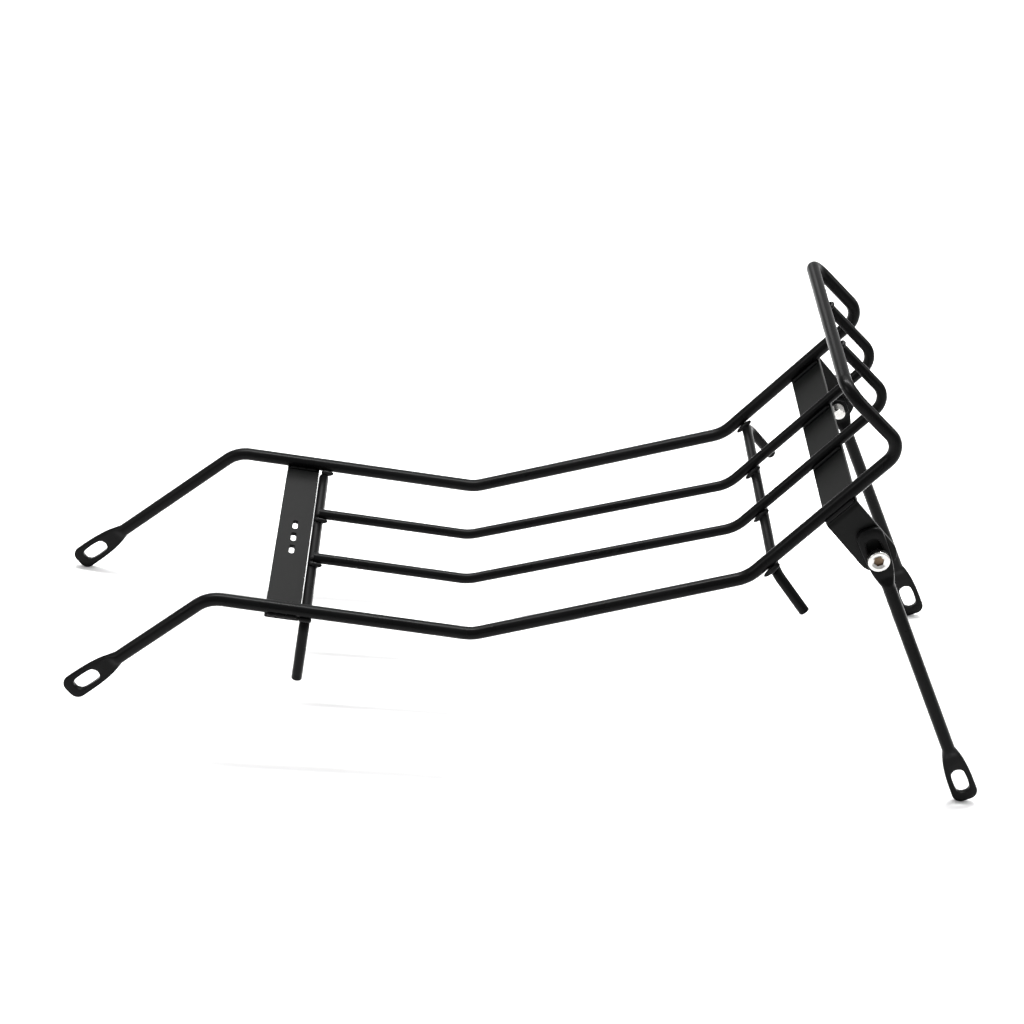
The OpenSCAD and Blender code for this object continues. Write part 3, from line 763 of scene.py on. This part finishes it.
def bead(bm, start, end, width, ripple=0.9, thin=(1.0, 1.0)):
    """A rounded run of weld from start to end, with a ripple for each stroke of the torch.

    The two thin values say how much of its width is left at the start and at the end."""
    length, way = (end - start).length, (end - start).normalized()
    radius = width / 2
    strokes = max(2, round((length + width) / ripple))
    total, steps = length + width, strokes * 4
    ring = edge_ring(bm, start - way * radius * 0.98, way, radius * 0.2, sides=16, up="Y")
    first = ring
    hub = start - way * radius * 0.98
    for i in range(1, steps):
        t = total * i / steps
        reach = min(t, total - t, radius)
        size = (radius ** 2 - (radius - reach) ** 2) ** 0.5
        size *= 0.93 + 0.07 * abs(cos(pi * strokes * i / steps))
        share = t / total
        size *= 1 - (1 - thin[0]) * max(0, 1 - 2 * share) - (1 - thin[1]) * max(0, 2 * share - 1)
        ring = pull(bm, ring, Vector())
        centre = start + way * (t - radius)
        for v in corners(ring):
            spoke = v.co - hub
            spoke -= spoke.dot(way) * way
            v.co = centre + spoke.normalized() * size
        hub = centre
    bmesh.ops.edgeloop_fill(bm, edges=first)
    bmesh.ops.edgeloop_fill(bm, edges=ring)


RODS = [(-RAIL_Y, ROD_D / 2), (-INNER_Y, INNER_D / 2), (INNER_Y, INNER_D / 2), (RAIL_Y, ROD_D / 2)]
cross_r = CROSS_D / 2
welds = {}
welds["front_plate_welds"] = bm = bmesh.new()
for side in (-1, 1):
    for face in (-1, 1):
        y, z = side * (RAIL_Y + face * (ROD_D / 2 - 1.0)), plate_top + 0.5
        for x, long in ((-22, 3.2), (-16.2, 4.6), (-8.8, 5.0)):
            x += plate_rear
            bead(bm, Vector((x, y, z)), Vector((x + long, y, z)), 3.5, thin=(0.7, 0.55))
welds["front_rod_welds"] = bm = bmesh.new()
low = 0.4 - ROD_D / 2
for y0, r in RODS:
    for face in (-1, 1):
        if y0 * face < 0 or r < ROD_D / 2:
            y = y0 + face * (r + 0.2)
            bead(
                bm, Vector((FRONT_ROD.x, y, low)), Vector((FRONT_ROD.x + cross_r + 1, y, low)), 5.2,
                thin=(1, 0.5),
            )
for side in (-1, 1):
    y = side * (RAIL_Y + cross_r - 0.8)
    bead(
        bm,
        Vector((FRONT_ROD.x - cross_r + 1, y, low - 1)),
        Vector((FRONT_ROD.x + cross_r - 1, y, low - 1)),
        4.0,
    )
welds["mid_rod_welds"] = bm = bmesh.new()
corner_line = MID_ROD - (cross_r - 0.6) * below(STEEP)
for y0, r in RODS:
    for face in (-1, 1):
        y = y0 + face * (r + 0.2)
        a, b = (corner_line + k * (cross_r + 1) * along(STEEP) for k in (-1, 1))
        bead(bm, beside(a, y), beside(b, y), 5.2, thin=(0.5, 0.5))
welds["rear_strap_welds"] = bm = bmesh.new()
for y0, r in RODS:
    for face in (-1, 1):
        y = y0 + face * (r - 0.6)
        bead(
            bm,
            on_steep(STRAP_POS + 3, strap_top - 0.6, y),
            on_steep(STRAP_POS + STRAP_W - 3, strap_top - 0.6, y),
            3.5,
        )
welds["top_bar_welds"] = bm = bmesh.new()
for side in (-1, 1):
    hub = beside(TOP_BAR - (ROD_D / 2 + 0.4) * along(HOOK) + inner_drop * below(HOOK), side * INNER_Y)
    sides = 48
    place = facing(along(HOOK), hub)
    turned = place.to_3x3()
    rim_point, rim_way = turned @ Vector((INNER_D / 2, 0, 0)), turned @ Vector((0, 1, 0))
    ring = edge_ring(bm, hub + rim_point, rim_way, 1.5, sides=12)
    bmesh.ops.spin(
        bm, geom=ring + corners(ring), cent=hub, axis=along(HOOK), angle=2 * pi, steps=sides, use_merge=True
    )
welds["weld_nut_welds"] = bm = bmesh.new()
for side in (-1, 1):
    for a in (90, 210, 330):
        middle = beside(bolt_axis + (NUT_W / 2 + 0.4) * along(a), side * (ear_y - STRAP_T - 0.2))
        bead(bm, middle - 2.5 * below(a), middle + 2.5 * below(a), 3.0)
for name, bm in welds.items():
    finished(bm, name + "_piece", "rack", [name], WELD_COAT, sharp=60)

# ---------------------------------------------------------------- floor, light and camera
# A plain pale floor runs out past the picture, under a large soft light from above and
# a weaker one from each side, so the black coat shows its long thin highlights.
floor_mesh = bpy.data.meshes.new("floor")
bm = bmesh.new()
bmesh.ops.create_grid(bm, x_segments=1, y_segments=1, size=12.0)
bm.to_mesh(floor_mesh)
bm.free()
floor = bpy.data.objects.new("floor", floor_mesh)
bpy.context.scene.collection.objects.link(floor)
paper = bpy.data.materials.new("pale paper")
paper.use_nodes = True
paper.node_tree.nodes["Principled BSDF"].inputs["Base Color"].default_value = (0.9, 0.9, 0.9, 1)
paper.node_tree.nodes["Principled BSDF"].inputs["Roughness"].default_value = 0.9
paper.node_tree.nodes["Principled BSDF"].inputs["Specular IOR Level"].default_value = 0.1
floor_mesh.materials.append(paper)

world = bpy.data.worlds.new("studio")
world.use_nodes = True
world.node_tree.nodes["Background"].inputs["Color"].default_value = (1, 1, 1, 1)
world.node_tree.nodes["Background"].inputs["Strength"].default_value = 0.6
bpy.context.scene.world = world


def soft_light(name, place, aim, width, height, power):
    light = bpy.data.lights.new(name, "AREA")
    light.shape, light.size, light.size_y, light.energy = "RECTANGLE", width, height, power
    lamp = bpy.data.objects.new(name, light)
    lamp.location = place
    lamp.rotation_mode = "QUATERNION"
    lamp.rotation_quaternion = (Vector(aim) - Vector(place)).to_track_quat("-Z", "Y")
    bpy.context.scene.collection.objects.link(lamp)


soft_light("high wash", (0.2, 1.6, 3.0), (0.2, 1.2, 0), 5.0, 3.0, 95)
soft_light("top light", (0.0, 0.45, 1.7), (0, 0, 0.1), 1.6, 0.09, 42)
soft_light("back light", (-0.5, 2.6, 1.3), (0.1, 0, 0.2), 1.0, 0.7, 5)
soft_light("left light", (-1.9, -0.5, 1.2), (0, 0, 0.15), 0.8, 0.8, 9)
soft_light("right light", (1.9, 0.3, 1.3), (0, 0, 0.2), 0.8, 0.8, 9)

lens = bpy.data.cameras.new("camera")
lens.lens, lens.sensor_width = 84.375, 36.0
camera = bpy.data.objects.new("camera", lens)
camera.location = (-0.094883, -1.6201, 1.05100)
camera.rotation_euler = (radians(60.7287), radians(-5.1291), radians(-0.2691))
bpy.context.scene.collection.objects.link(camera)
bpy.context.scene.camera = camera
bpy.context.scene.view_settings.view_transform = "Standard"
